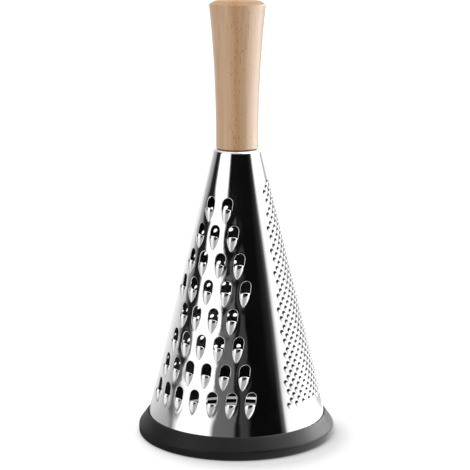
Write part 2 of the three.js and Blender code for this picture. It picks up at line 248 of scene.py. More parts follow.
def wall_radius(z):
    """Radius of the wall's outer face."""
    return CONE_FOOT_RADIUS - (z - CONE_FOOT) * SLOPE


def flatten(azimuth, z):
    """Place on the sheet laid flat."""
    distance = wall_radius(z) / math.sin(HALF_ANGLE)
    angle = (azimuth - COARSE_AZIMUTH) * math.sin(HALF_ANGLE)
    return np.stack([distance * np.sin(angle), -distance * np.cos(angle)], -1)


def unflatten(points):
    """Azimuth and height of places on the sheet laid flat."""
    distance = np.hypot(points[:, 0], points[:, 1])
    angle = np.arctan2(points[:, 0], -points[:, 1])
    z = CONE_FOOT + (CONE_FOOT_RADIUS - distance * math.sin(HALF_ANGLE)) / SLOPE
    return COARSE_AZIMUTH + angle / math.sin(HALF_ANGLE), z


def on_cone(azimuth, z, out):
    """Points lifted square to the cone's wall."""
    radius = wall_radius(z) + out * math.cos(HALF_ANGLE)
    height = z + out * math.sin(HALF_ANGLE)
    return np.stack([radius * np.sin(azimuth), -radius * np.cos(azimuth), height], -1)


class Teeth:
    """Like teeth of one face, and the place of each one's lip.

    An opening is as wide as the width, and as high as the height up to the top of its arch. Its
    lower edge, the lip, bows up by the rise and stands off the sheet by the lift, and its tooth
    runs down from there over the length. Ridge and flank are the powers of the tooth's fall along
    it and across it, rim is the rounding of the opening's edge, and steps says how finely edges
    are divided.
    """

    def __init__(self, azimuth, width, height, length, lift, rise, steps, ridge,
                 rim=0.0, flank=0.55):
        self.azimuth = azimuth
        self.half = width / 2
        self.height = height
        self.length = length
        self.lift = lift
        self.rise = rise
        self.steps = steps
        self.lip_count = 2 * steps + 1
        self.ridge = ridge
        self.rim = rim
        self.flank = flank
        self.places = []

    def add_row(self, z, along):
        self.places += [(a, z) for a in along]

    def wall_place(self, place, u, v):
        """Azimuth and height of a place given across and up from a tooth's lip."""
        z = place[1] + np.asarray(v, float)
        return self.azimuth + (place[0] + np.asarray(u, float)) / wall_radius(z), z

    def tooth_place(self, place, azimuth, z):
        """Across and up from a tooth's lip, of a place on the wall."""
        return (azimuth - self.azimuth) * wall_radius(z) - place[0], z - place[1]

    def lip(self, u):
        return self.rise * np.sqrt(np.clip(1 - (u / self.half) ** 2, 0, 1))

    def arch(self, u):
        return self.height - self.half + np.sqrt(np.clip(self.half**2 - u**2, 0, None))

    def tooth_half(self, t):
        """Half width of the tooth at a share of its length below the lip."""
        return self.half * np.clip(1 - np.clip(t, 0, 1) ** TOOTH_TAPER, TINY, 1) ** TOOTH_TIP

    def in_opening(self, u, v):
        return abs(u) < self.half and self.lip(u) < v < self.arch(u)

    def on_tooth(self, u, v):
        return -self.length < v < self.lip(u) and abs(u) < self.tooth_half(-v / self.length)

    def raised(self, u, v):
        """Height of the tooth above the sheet."""
        t = np.clip(-v / self.length, 0, 1)
        across = np.clip(1 - (u / self.tooth_half(t)) ** 2, 0, 1) ** self.flank
        return self.lift * (1 - t**self.ridge) * across

    def raised_at(self, place, azimuth, z):
        return self.raised(*self.tooth_place(place, azimuth, z))

    def outline(self):
        """The opening's edge, from its left lower corner along the lip and back over the arch."""
        lip = [(s * self.half, self.lip(s * self.half)) for s in eased(-1, 1, self.lip_count)]
        return np.array(lip + self.over_arch(self.half))

    def over_arch(self, half):
        """Places up the right side, over the arch and down the left side, at a half width."""
        side = self.height - self.half
        sides = [side * share for share in SIDE_SHARES] if self.rim else []
        angles = np.linspace(0, math.pi, self.lip_count)
        arch = [(half * math.cos(a), side + half * math.sin(a)) for a in angles]
        return [(half, v) for v in sides] + arch + [(-half, v) for v in reversed(sides)]

    def rim_places(self):
        """Where the rounding of the opening's edge starts, under the lip and round the arch."""
        lip = self.outline()[1:self.lip_count - 1]
        bow = np.sqrt(1 - (lip[:, 0] / self.half) ** 2)
        under = np.stack([lip[:, 0], lip[:, 1] - self.rim * bow], 1)
        return under, np.array(self.over_arch(self.half + self.rim))

    def inwards(self):
        """Ways into the opening from each place of its outline, but none at its lower corners."""
        way = self.outline() - [0, self.height - self.half]
        way[self.lip_count:, 1] = np.maximum(way[self.lip_count:, 1], 0)
        way = -way / np.linalg.norm(way, axis=1, keepdims=True)
        way[:self.lip_count] = (0, 1)
        way[[0, self.lip_count - 1]] = 0
        return way

    def tooth_edge(self):
        """The tooth's crease with the sheet, between the opening's lower corners."""
        shares = eased(0, 1, self.steps + 2)[1:-1]
        left = [(-self.tooth_half(t), -t * self.length) for t in shares]
        return np.array(left + [(0, -self.length)] + [(-u, v) for u, v in reversed(left)])

    def tooth_inside(self):
        """Places on the tooth, clear of its lip."""
        shares = eased(-1, 1, self.lip_count)[1:-1]
        rows = eased(0, 1, self.steps + 2)[:-1]
        points = [(s * self.tooth_half(t), -t * self.length) for t in rows for s in shares]
        gap = self.rim + self.half * LIP_GAP_SHARE
        return np.array([(u, v) for u, v in points if v < self.lip(u) - gap])

    def surround(self, gap):
        """Places round the opening and its tooth, at a gap from their edge."""
        edge = np.concatenate([self.tooth_edge(), self.outline()[self.lip_count:]])
        way = np.roll(edge, -1, axis=0) - np.roll(edge, 1, axis=0)
        way /= np.linalg.norm(way, axis=1, keepdims=True)
        return edge + gap * np.stack([way[:, 1], -way[:, 0]], 1)


def row_places(z, pitch, shift, margin):
    """Places at a pitch along a row, clear of the sides of its face."""
    room = wall_radius(z) * math.pi / FACE_COUNT - margin
    first = math.ceil((-room - shift) / pitch)
    last = math.floor((room - shift) / pitch)
    return [column * pitch + shift for column in range(first, last + 1)]


def coarse_teeth():
    teeth = Teeth(COARSE_AZIMUTH, width=5.7, height=7.2, length=6.6, lift=2, rise=1.2,
                  steps=5, ridge=1.7, rim=0.35)
    for row, count in enumerate(COARSE_COUNTS):
        along = [COARSE_PITCH * (k - (count - 1) / 2) for k in range(count)]
        teeth.add_row(COARSE_FIRST_ROW + COARSE_ROW_PITCH * row, along)
    return teeth


def fine_teeth():
    teeth = Teeth(FINE_AZIMUTH, width=3.0, height=1.8, length=2.4, lift=0.5, rise=0.45,
                  steps=3, ridge=1.4, flank=1.0)
    for row in range(FINE_ROWS):
        z = FINE_FIRST_ROW + FINE_ROW_PITCH * row
        shift = FINE_SHIFT - FINE_DRIFT * row + (FINE_PITCH / 2 if row % 2 else 0)
        margin = FINE_LOW_MARGIN if row < FINE_LOW_ROWS else FINE_MARGIN
        teeth.add_row(z, row_places(z, FINE_PITCH, shift, margin))
    return teeth


def medium_teeth():
    teeth = Teeth(MEDIUM_AZIMUTH, width=2.7, height=1.45, length=3.4, lift=0.9, rise=-1.35,
                  steps=3, ridge=1.4)
    for row in range(MEDIUM_ROWS):
        z = MEDIUM_FIRST_ROW + MEDIUM_ROW_PITCH * row
        teeth.add_row(z, row_places(z, MEDIUM_PITCH, 0, MEDIUM_MARGIN))
    return teeth


COARSE_TEETH = coarse_teeth()
FINE_TEETH = fine_teeth()
PATTERNS = [COARSE_TEETH, FINE_TEETH, medium_teeth()]


def sheet_wave(azimuth, z):
    """Unevenness of the rolled sheet, the dents round its coarse teeth and its seam's bead."""
    wave = sum(depth * np.sin(count * azimuth + z / climb) for depth, count, climb in WAVES)
    for place in COARSE_TEETH.places:
        u, v = COARSE_TEETH.tooth_place(place, azimuth, z)
        reach = np.hypot(u / DENT_HALF_WIDTH, (v - DENT_MIDDLE) / DENT_HALF_HEIGHT)
        wave = wave - DENT_DEPTH * np.exp(-(((reach - 1) / DENT_SPREAD) ** 2))
    turn = (azimuth - SEAM_AZIMUTH + math.pi) % FULL_TURN - math.pi
    return wave + BEAD_HEIGHT * np.exp(-((turn * wall_radius(z) / BEAD_WIDTH) ** 2))


class FlatSheet:
    """Points and edges of the sheet laid flat, ready to be triangulated."""

    def __init__(self):
        self.azimuth = []
        self.z = []
        self.lift = []
        self.owner = []
        self.turn = []
        self.edges = []

    def add(self, azimuth, z, lift=0.0, owner=-1, turn=(0, 0)):
        """Adds points, with the tooth that owns them and their way into an opening, if any."""
        start = len(self.azimuth)
        azimuth, z = np.broadcast_arrays(np.atleast_1d(azimuth).astype(float), z)
        self.azimuth += azimuth.tolist()
        self.z += z.tolist()
        self.lift += np.broadcast_to(lift, azimuth.shape).tolist()
        self.owner += [owner] * azimuth.size
        self.turn += np.broadcast_to(turn, (azimuth.size, 2)).tolist()
        return list(range(start, start + azimuth.size))

    def add_at(self, pattern, place, points, *traits):
        """Adds points that are given across and up from a tooth's lip."""
        return self.add(*pattern.wall_place(place, points[:, 0], points[:, 1]), *traits)

    def join(self, run):
        self.edges += list(zip(run, run[1:]))

    def add_tooth(self, pattern, place, owner):
        """Adds an opening and its tooth, and gives the loop of points round the opening."""
        outline = pattern.outline()
        lift = pattern.raised(*outline.T)
        lift[pattern.lip_count:] = 0
        turn = pattern.inwards() if pattern.rim else (0, 0)
        loop = self.add_at(pattern, place, outline, lift, owner, turn)
        self.join(loop + loop[:1])
        left, right = loop[0], loop[pattern.lip_count - 1]
        if pattern.rim:
            under, over = pattern.rim_places()
            run = self.add_at(pattern, place, under, pattern.raised(*under.T), owner)
            self.join([left] + run + [right])
            run = self.add_at(pattern, place, over, 0.0, owner)
            self.join([right] + run + [left])
        run = self.add_at(pattern, place, pattern.tooth_edge(), 0.0, owner)
        self.join([left] + run + [right])
        inside = pattern.tooth_inside()
        self.add_at(pattern, place, inside, pattern.raised(*inside.T), owner)
        if pattern is COARSE_TEETH:
            for gap in DENT_GAPS:
                self.add_at(pattern, place, pattern.surround(gap))
        return loop


def flat_sheet():
    """The sheet's points and edges, each tooth's pattern and place, and each opening's loop."""
    sheet = FlatSheet()
    owners = [(pattern, place) for pattern in PATTERNS for place in pattern.places]
    loops = [sheet.add_tooth(*tooth, owner) for owner, tooth in enumerate(owners)]
    bottom = sheet.add(SHEET_TURNS, RING_HEIGHT)
    top = sheet.add(SHEET_TURNS, WALL_TOP)
    heights = np.linspace(RING_HEIGHT, WALL_TOP, SEAM_STEPS + 1)[1:-1]
    left = sheet.add(SHEET_TURNS[0], heights)
    right = sheet.add(SHEET_TURNS[-1], heights)
    for run in (bottom, top, bottom[:1] + left + top[:1], bottom[-1:] + right + top[-1:]):
        sheet.join(run)
    sheet.add(*filler_places(owners))
    return sheet, owners, loops


def filler_places(owners):
    """An even scatter over the sheet, clear of its edges and of every tooth."""
    reach = wall_radius(RING_HEIGHT) / math.sin(HALF_ANGLE)
    steps = int(reach / FILLER_STEP) + 1
    grid = np.array([
        ((i + 0.5 * (j % 2)) * FILLER_STEP, -j * FILLER_STEP * FILLER_ROW_SHARE)
        for j in range(int(steps / FILLER_ROW_SHARE) + 1) for i in range(-steps, steps + 1)
    ])
    azimuth, z = unflatten(grid)
    to_seam = (math.pi - np.abs(azimuth - COARSE_AZIMUTH)) * wall_radius(z)
    to_edge = np.minimum(z - RING_HEIGHT, WALL_TOP - z)
    keep = (to_edge > FILLER_MARGIN) & (to_seam > FILLER_MARGIN)
    azimuth, z = azimuth[keep], z[keep]
    keep = np.ones(azimuth.size, bool)
    for pattern, place in owners:
        u, v = pattern.tooth_place(place, azimuth, z)
        margin = FILLER_MARGIN + (DENT_GAPS[-1] if pattern is COARSE_TEETH else 0)
        near = np.abs(u) < pattern.half + margin
        near &= (v > -pattern.length - margin) & (v < pattern.height + margin)
        keep &= ~near
    return azimuth[keep], z[keep]


def sheet_triangles(sheet, owners):
    """Triangles of the sheet without its openings, and the tooth that each one is on, or -1."""
    flat = flatten(np.array(sheet.azimuth), np.array(sheet.z))
    places = [Vector(p) for p in flat - flat.mean(axis=0)]
    corners, _, found, sources, _, _ = geometry.delaunay_2d_cdt(places, sheet.edges, [], 0, TINY)
    if len(corners) != len(flat):
        raise RuntimeError(f"the flat sheet's edges cross: {len(corners)} points from {len(flat)}")
    triangles = np.array([min(s) for s in sources])[np.array(found)]

    centre_azimuth, centre_z = unflatten(flat[triangles].mean(axis=1))
    keep = centre_z < WALL_TOP
    owner_of = np.array(sheet.owner)[triangles]
    whole = (owner_of[:, 0] >= 0) & (owner_of == owner_of[:, :1]).all(axis=1)
    in_tooth = np.full(len(triangles), -1)
    for index in np.flatnonzero(whole):
        pattern, place = owners[owner_of[index, 0]]
        u, v = pattern.tooth_place(place, centre_azimuth[index], centre_z[index])
        if pattern.in_opening(u, v):
            keep[index] = False
        elif pattern.on_tooth(u, v):
            in_tooth[index] = owner_of[index, 0]
    triangles, in_tooth = triangles[keep], in_tooth[keep]

    a, b, c = (flat[triangles[:, k]] for k in range(3))
    ab, ac = b - a, c - a
    turned = ab[:, 0] * ac[:, 1] - ab[:, 1] * ac[:, 0] < 0
    triangles[turned] = triangles[turned][:, ::-1]
    return triangles, in_tooth


def raised_normals(azimuth, z, field):
    """Unit normals of the wall raised by a field, from small steps across it."""
    turn = NORMAL_STEP / wall_radius(z)
    across = (on_cone(azimuth + turn, z, field(azimuth + turn, z))
              - on_cone(azimuth - turn, z, field(azimuth - turn, z)))
    up = (on_cone(azimuth, z + NORMAL_STEP, field(azimuth, z + NORMAL_STEP))
          - on_cone(azimuth, z - NORMAL_STEP, field(azimuth, z - NORMAL_STEP)))
    normals = np.cross(across, up)
    return normals / np.linalg.norm(normals, axis=-1, keepdims=True)


def sheet_normals(azimuth, z, triangles, in_tooth, owners):
    """Normals at the triangles' corners, taken just inside them, so that creases stay crisp."""
    def inset(values):
        corners = values[triangles]
        return corners + CREASE_INSET * (corners.mean(axis=1, keepdims=True) - corners)

    azimuth, z = inset(azimuth), inset(z)
    normals = raised_normals(azimuth, z, sheet_wave)
    for index in np.unique(in_tooth[in_tooth >= 0]):
        pattern, place = owners[index]
        rows = in_tooth == index
        normals[rows] = raised_normals(azimuth[rows], z[rows], partial(pattern.raised_at, place))
    return normals


def rim_normals(normals, azimuth, triangles, turn):
    """The normals, turned towards the opening at its rounded edge."""
    facing = normals.copy()
    tilt = turn[triangles] * math.sin(RIM_TURN)
    across = np.stack([np.cos(azimuth), np.sin(azimuth), np.zeros(len(azimuth))], 1)[triangles]
    edge = np.linalg.norm(tilt, axis=2) > 0
    up = np.cross(normals[edge], across[edge])
    facing[edge] = (normals[edge] * math.cos(RIM_TURN) + tilt[edge][:, :1] * across[edge]
                    + tilt[edge][:, 1:] * up)
    return facing


def narrowed(values, owners, loops):
    """The values with those round each fine opening drawn together, for the sheet's inner face."""
    values = values.copy()
    for (pattern, _), loop in zip(owners, loops):
        if pattern is FINE_TEETH:
            values[loop] += (1 - FINE_THROAT) * (values[loop].mean() - values[loop])
    return values


def cut_edges(loops, points):
    """Triangles and corner normals between the outer and the inner edge of each opening."""
    inner = len(points) // 2
    walls = []
    for loop in loops:
        for p, q in zip(loop, loop[1:] + loop[:1]):
            walls += [(p, q, q + inner), (p, q + inner, p + inner)]
    walls = np.array(walls)
    a, b, c = (points[walls[:, k]] for k in range(3))
    normals = np.cross(b - a, c - a)
    normals /= np.maximum(np.linalg.norm(normals, axis=1, keepdims=True), LEAST_LENGTH)
    return walls, np.repeat(normals[:, None], 3, axis=1)


def grater_cone():
    """The rolled sheet with its teeth and openings, its shoulder and its hem."""
    sheet, owners, loops = flat_sheet()
    azimuth, z, lift, turn = (
        np.array(a) for a in (sheet.azimuth, sheet.z, sheet.lift, sheet.turn))
    triangles, in_tooth = sheet_triangles(sheet, owners)
    normals = sheet_normals(azimuth, z, triangles, in_tooth, owners)

    # Outer and inner face of the sheet, which lies plain at its upper and lower edge
    fade = np.clip(np.minimum(z - RING_HEIGHT, WALL_TOP - z) / WAVE_FADE, 0, 1)
    wave = sheet_wave(azimuth, z) * fade
    drop = RIM_DROP * np.linalg.norm(turn, axis=1)
    outer = on_cone(azimuth, z, wave + lift - drop)
    inner_azimuth, inner_z, inner_lift = (narrowed(a, owners, loops) for a in (azimuth, z, lift))
    inner = on_cone(inner_azimuth, inner_z, wave + inner_lift - SHEET)
    vertices = [outer, inner]
    faces = [triangles, triangles[:, ::-1] + len(outer)]
    corner_normals = [rim_normals(normals, azimuth, triangles, turn), -normals[:, ::-1]]
    # The inner face takes the dull steel, whose dark tint is painted shade of the cone's inside
    finish = [np.full(len(triangles), POLISHED), np.full(len(triangles), DULL)]

    # Cut edges of the openings, which are polished on the coarse face only; elsewhere they take
    # the dull steel, whose painted shade keeps the openings dark
    walls, wall_normals = cut_edges(loops, np.concatenate(vertices))
    coarse_walls = 2 * sum(len(loop) for loop in loops[:len(COARSE_TEETH.places)])
    faces.append(walls)
    corner_normals.append(wall_normals)
    finish.append(np.where(np.arange(len(walls)) < coarse_walls, POLISHED, DULL))

    # Rolled shoulder and folded hem, with the wall's inside above the hem in the dull steel and
    # its painted shade
    start = 2 * len(outer)
    for profile, dull_count in ((shoulder_profile(), 0), (hem_profile(), 2 * COLUMNS)):
        points, sides, side_normals = band(profile, start)
        vertices.append(points)
        faces.append(sides)
        corner_normals.append(side_normals)
        finish.append(np.where(np.arange(len(sides)) < dull_count, DULL, POLISHED))
        start += len(points)

    vertices, faces, corner_normals, finish = (
        np.concatenate(a) for a in (vertices, faces, corner_normals, finish))
    vertices, faces, keep = weld(vertices, faces)
    kept_normals = corner_normals[keep].reshape(-1, 3).tolist()
    piece = make_piece(
        "grater_cone_skin", vertices, faces.tolist(), "grater_cone", kept_normals)
    piece.data.materials.append(polished_steel())
    piece.data.materials.append(dull_shaded_steel())
    piece.data.polygons.foreach_set("material_index", finish[keep].tolist())


def shoulder_profile():
    """Runs of (radius, height) from the wall's outer face over the shoulder to its inner face."""
    start = math.degrees(HALF_ANGLE)
    centre = (SHOULDER_CENTRE_RADIUS, SHOULDER_CENTRE_HEIGHT)
    over = arc(centre, SHOULDER_RADIUS, start, 90, SHOULDER_STEPS)
    under = arc(centre, SHOULDER_RADIUS - SHEET, 90, start, SHOULDER_STEPS)
    return [over + [(NECK_HOLE_RADIUS, CONE_TOP)],
            [(NECK_HOLE_RADIUS, CONE_TOP), (NECK_HOLE_RADIUS, CONE_TOP - SHEET)],
            [(NECK_HOLE_RADIUS, CONE_TOP - SHEET)] + under]


def hem_profile():
    """Runs of (radius, height) from the wall's inner face round the folded foot to its outside."""
    def place(z, inset):
        return wall_radius(z) - inset / math.cos(HALF_ANGLE), z

    low = (wall_radius(RING_HEIGHT) - SHEET * math.cos(HALF_ANGLE),
           RING_HEIGHT - SHEET * math.sin(HALF_ANGLE))
    top = CONE_FOOT + HEM_HEIGHT
    fold = [place(CONE_FOOT + SHEET * (1 - math.sin(a)), SHEET * (1 + math.cos(a)))
            for a in np.linspace(0, math.pi, HEM_STEPS + 1)]
    return [[low, place(top, SHEET)], [place(top, SHEET), place(top, 2 * SHEET)],
            [place(top, 2 * SHEET)] + fold + [(wall_radius(RING_HEIGHT), RING_HEIGHT)]]


def band(runs, start):
    """Vertices, triangles and corner normals of runs turned round the cone, smooth along each."""
    width = len(SHEET_TURNS)

    def turned(radius, height):
        heights = np.full(width, height)
        return np.stack([radius * np.sin(SHEET_TURNS), -radius * np.cos(SHEET_TURNS), heights], 1)

    vertices, triangles, normals = [], [], []
    for run in runs:
        along = np.gradient(np.array(run), axis=0)
        slope = np.stack([along[:, 1], -along[:, 0]], 1)
        slope /= np.linalg.norm(slope, axis=1, keepdims=True)
        base = start + width * len(vertices)
        vertices += [turned(*point) for point in run]
        corner = [turned(*way) for way in slope]
        for k in range(len(run) - 1):
            for j in range(width - 1):
                places = [(k, j), (k, j + 1), (k + 1, j + 1), (k + 1, j)]
                for pick in ((0, 1, 2), (0, 2, 3)):
                    triangles.append([base + places[i][0] * width + places[i][1] for i in pick])
                    normals.append([corner[places[i][0]][places[i][1]] for i in pick])
    return np.concatenate(vertices), np.array(triangles), np.array(normals)


def weld(vertices, faces):
    """Joins vertices that lie in one place, and says which faces still have three corners."""
    keys = np.round(vertices, WELD_DIGITS) + 0.0
    _, first, back = np.unique(keys, axis=0, return_index=True, return_inverse=True)
    a, b, c = back.reshape(-1)[faces].T
    keep = (a != b) & (b != c) & (c != a)
    return vertices[first], np.stack([a, b, c], 1)[keep], keep


# Turned pieces

def handle():
    """A flared grip with the screw's bore, a rounded foot and a chamfered end of end grain."""
    flare_foot = HANDLE_FOOT + GRIP_ROUND
    flare_top = HANDLE_TOP - TOP_CHAMFER
    profile = [(0, BORE_TOP), (BORE_RADIUS, BORE_TOP), (BORE_RADIUS, HANDLE_FOOT)]
    profile += [(r, HANDLE_FOOT) for r in GRIP_RINGS]
    profile += arc((WAIST_RADIUS - GRIP_ROUND, flare_foot), GRIP_ROUND, -90, 0, GRIP_ROUND_STEPS)
    for share in np.linspace(0, FLARE_END, FLARE_STEPS + 1)[1:]:
        flare = (HANDLE_TOP_RADIUS - WAIST_RADIUS) * share ** FLARE_POWER
        profile.append((WAIST_RADIUS + flare, flare_foot + (flare_top - flare_foot) * share))
    edge, land = (HANDLE_TOP_RADIUS, flare_top), (TOP_LAND_RADIUS, HANDLE_TOP)
    profile += rounded([profile[-1], edge, land], CHAMFER_ROUND)
    profile += rounded([edge, land, (0, HANDLE_TOP)], LAND_ROUND)
    profile += [(r, HANDLE_TOP) for r in LAND_RINGS]
    vertices, faces = lathe(profile, HANDLE_COLUMNS)
    piece = make_piece("handle_turned", vertices, faces, "handle")
    soften(piece, HANDLE_CREASE)
    piece.data.materials.append(beech("beech", VARNISH_ROUGHNESS, **VARNISH))
    piece.data.materials.append(beech("beech_end", END_GRAIN_ROUGHNESS, **END_GRAIN))
    end_from = (flare_top + END_GRAIN_START) * MM
    at_end = [int(face.center.z > end_from) for face in piece.data.polygons]
    piece.data.polygons.foreach_set("material_index", at_end)
    return piece


def foot_ring():
    """A moulded ring with a rounded foot, a sloping upper side and a flange under the hem."""
    gap = SEAT_GAP / math.cos(HALF_ANGLE)
    side = CONE_FOOT_RADIUS + SEAT_GAP + RING_WALL
    top_inner = wall_radius(RING_HEIGHT) + gap
    inner = wall_radius(CONE_FOOT) - 2 * SHEET / math.cos(HALF_ANGLE) - RING_FLANGE
    slope = (side - top_inner - RING_TOP_LIP) / (RING_HEIGHT - RING_SIDE_HEIGHT)
    profile = [(inner, RING_EDGE), (inner + RING_EDGE, 0)]
    profile += arc((side - RING_FOOT_ROUND, RING_FOOT_ROUND), RING_FOOT_ROUND, -90, 0, RING_STEPS)
    profile += [(side, RING_SIDE_MIDDLE)]
    for t in np.linspace(0, 1, RING_STEPS + 1):
        height = RING_SIDE_HEIGHT - RING_BEND + 2 * RING_BEND * t
        profile.append((side - slope * RING_BEND * t * t, height))
    profile += [(side - slope * (h - RING_SIDE_HEIGHT), h) for h in RING_SLOPE_HEIGHTS]
    top_centre = (top_inner + RING_TOP_ROUND, RING_HEIGHT - RING_TOP_ROUND)
    profile += arc(top_centre, RING_TOP_ROUND, RING_TOP_START, 180, RING_STEPS)
    profile += [(wall_radius(RING_FLOOR) + gap, RING_FLOOR), (inner + RING_EDGE, RING_FLOOR)]
    profile += [(inner, RING_FLOOR - RING_EDGE), (inner, RING_EDGE)]
    vertices, faces = lathe(profile, RING_COLUMNS)
    piece = make_piece("foot_ring_moulded", vertices, faces, "foot_ring")
    soften(piece, RING_CREASE)
    return piece


def soften(piece, degrees):
    """Keeps edges sharper than the angle crisp on a smooth piece."""
    piece.data.set_sharp_from_angle(angle=math.radians(degrees))


# Materials

NOISE_SPAN = (0.3, 0.7)
CLOUD_DETAIL = 3
GRAIN_DEPTH = 0.0001
STEEL_BUMP = 0.1
POLISHED_TINTS = [(0.86, 0.865, 0.87), (0.9, 0.9, 0.895)]
POLISHED_BUMP = 0.02
SMUDGE_SPAN = (0.35, 0.75)
SMUDGE_ROUGHNESS = (0.035, 0.1)
GRAIN_ROUGHNESS = (0, 0.02)
# Dull steel of the cone's inside: its dark tints are painted shade of the hollow
DULL_SHADED_TINTS = [(0.1, 0.1, 0.1), (0.15, 0.15, 0.148)]
DULL_ROUGHNESS = (0.4, 0.55)
# Painted shade near the foot of the cone's inside: its tint, the heights over which it fades, and
# its share
PAINTED_FOOT_SHADE_TINT = (0.015, 0.015, 0.015)
PAINTED_FOOT_SHADE_HEIGHTS = (0.012, 0.024)
PAINTED_FOOT_SHADE_SHARE = 0.85
PLAIN_TINTS = [(0.5, 0.5, 0.5), (0.62, 0.62, 0.61)]
PLAIN_ROUGHNESS = (0.28, 0.42)
RUBBER_TINTS = [0.005, 0.009]
RUBBER_ROUGHNESS = (0.4, 0.5)
RUBBER_BUMP = 0.12
FIBRE_SCALES = (620, 620, 10)
FIBRE_SPAN = (0.2, 0.8)
FIBRE_BUMP = 0.12
FIBRE_DEPTH = 0.0003
BEECH_TONES = [
    (0.25, (0.52, 0.285, 0.135)), (0.5, (0.62, 0.378, 0.2)), (0.75, (0.69, 0.448, 0.26)),
]
GROWTH_TONE = (0.595, 0.325, 0.14)
GROWTH_SHARE = 0.6
GROWTH_SPAN = (-0.2, 1)
GROWTH_RATE = 330.0
GROWTH_DRIFT = (-0.003, 0.005)
DRIFT_SCALES = (60, 60, 9)
DRIFT_SHIFT = (1.3, 0.4, 0)
STREAK_TONE = (0.54, 0.25, 0.085)
STREAK_SHARE = 0.55
STREAK_SPAN = (0.86, 1)
FLECK_TONE = (0.25, 0.11, 0.05)
FLECK_SHARE = 0.75
FLECK_SCALES = (1400, 1400, 420)
FLECK_SPAN = (0.66, 0.73)
FLECK_BIAS = 0.045
VARNISH_ROUGHNESS = (0.4, 0.5)
VARNISH = dict(
    Sheen_Weight=0.15, Sheen_Roughness=0.4, Specular_IOR_Level=1.0,
    Coat_Weight=0.6, Coat_Roughness=0.3,
)
END_GRAIN_ROUGHNESS = (0.6, 0.7)
END_GRAIN = dict(Sheen_Weight=0.1, Sheen_Roughness=0.4, Specular_IOR_Level=0.5)


class Nodes:
    """The nodes of a material or the world, written as short chains."""

    MIX_COLOURS = (6, 7)
    MIX_RESULT = 2

    def __init__(self, tree):
        self.tree = tree
        tree.nodes.clear()

    def add(self, kind, inputs=None, **settings):
        node = self.tree.nodes.new(kind)
        for key, value in settings.items():
            setattr(node, key, value)
        for key, value in (inputs or {}).items():
            socket = node.inputs[key]
            if isinstance(value, bpy.types.NodeSocket):
                self.tree.links.new(value, socket)
            else:
                socket.default_value = value
        return node

    def maths(self, operation, a, b=0.0):
        return self.add("ShaderNodeMath", {0: a, 1: b}, operation=operation).outputs[0]

    def times(self, a, b):
        return self.maths("MULTIPLY", a, b)

    def range(self, value, span, to=(0, 1)):
        """The value moved from a span to another one, and held at its ends."""
        return self.add("ShaderNodeMapRange", {
            "Value": value, "From Min": span[0], "From Max": span[1],
            "To Min": to[0], "To Max": to[1],
        }).outputs[0]

    def ramp(self, value, stops):
        """Colours or grey levels at places from 0 to 1."""
        node = self.add("ShaderNodeValToRGB", {"Fac": value})
        elements = node.color_ramp.elements
        while len(elements) < len(stops):
            elements.new(0.5)
        for element, (place, colour) in zip(elements, stops):
            element.position = place
            element.color = (*colour, 1) if isinstance(colour, tuple) else (colour,) * 3 + (1,)
        return node.outputs["Color"]

    def turn_ramp(self, azimuth, stops, peak=1.0):
        """Levels as shares of a peak over an azimuth in radians, with the stops in degrees."""
        turn = self.range(azimuth, (-math.pi, math.pi))
        return self.ramp(turn, [((a + 180) / 360, level / peak) for a, level in stops])

    def noise(self, vector, scale, detail, roughness=0.5):
        return self.add("ShaderNodeTexNoise", {
            "Vector": vector, "Scale": scale, "Detail": detail, "Roughness": roughness,
        }).outputs["Fac"]

    def stretched_noise(self, vector, scales, detail, roughness=0.5, shift=(0, 0, 0)):
        """Noise with a scale of its own along each axis."""
        stretched = self.add("ShaderNodeMapping", {
            "Vector": vector, "Scale": scales, "Location": shift}).outputs[0]
        return self.noise(stretched, 1.0, detail, roughness)

    def mix(self, factor, a, b, blend="MIX"):
        node = self.add("ShaderNodeMix", {"Factor": factor}, data_type="RGBA", blend_type=blend)
        for key, value in zip(self.MIX_COLOURS, (a, b)):
            if isinstance(value, bpy.types.NodeSocket):
                self.tree.links.new(value, node.inputs[key])
            else:
                node.inputs[key].default_value = (*value, 1)
        return node.outputs[self.MIX_RESULT]

    def bump(self, height, strength, distance):
        return self.add("ShaderNodeBump", {
            "Height": height, "Strength": strength, "Distance": distance}).outputs[0]

    def place(self):
        return self.add("ShaderNodeTexCoord").outputs["Object"]

    def parts(self, vector):
        return self.add("ShaderNodeSeparateXYZ", {0: vector}).outputs

    def azimuth(self, parts):
        return self.maths("ARCTAN2", parts[0], self.times(parts[1], -1.0))

    def finish(self, **inputs):
        shader = self.add("ShaderNodeBsdfPrincipled", {
            key.replace("_", " "): value for key, value in inputs.items()})
        self.add("ShaderNodeOutputMaterial", {"Surface": shader.outputs[0]})


def new_material(name):
    material = bpy.data.materials.new(name)
    material.use_nodes = True
    return material, Nodes(material.node_tree)


def steel(name, tints, cloud_scale, grain_scales, grain_detail):
    """A new material with its nodes, and the place, drawn grain and cloudy tint of steel, which
    for the dull inside is darkened as painted shade.
    """
    material, n = new_material(name)
    place = n.place()
    grain = n.stretched_noise(place, grain_scales, grain_detail)
    cloud = n.noise(place, cloud_scale, CLOUD_DETAIL)
    return material, n, place, grain, n.ramp(cloud, list(zip(NOISE_SPAN, tints)))


def polished_steel():
    """Mirror finish with faint smudges."""
    material, n, place, grain, tint = steel(
        "polished_steel", POLISHED_TINTS,
        cloud_scale=22, grain_scales=(900, 900, 5000), grain_detail=2)
    smudge = n.range(n.noise(place, scale=38, detail=4), SMUDGE_SPAN, SMUDGE_ROUGHNESS)
    roughness = n.maths("ADD", smudge, n.range(grain, NOISE_SPAN, GRAIN_ROUGHNESS))
    n.finish(Base_Color=tint, Metallic=1.0, Roughness=roughness,
             Normal=n.bump(grain, POLISHED_BUMP, GRAIN_DEPTH))
    return material


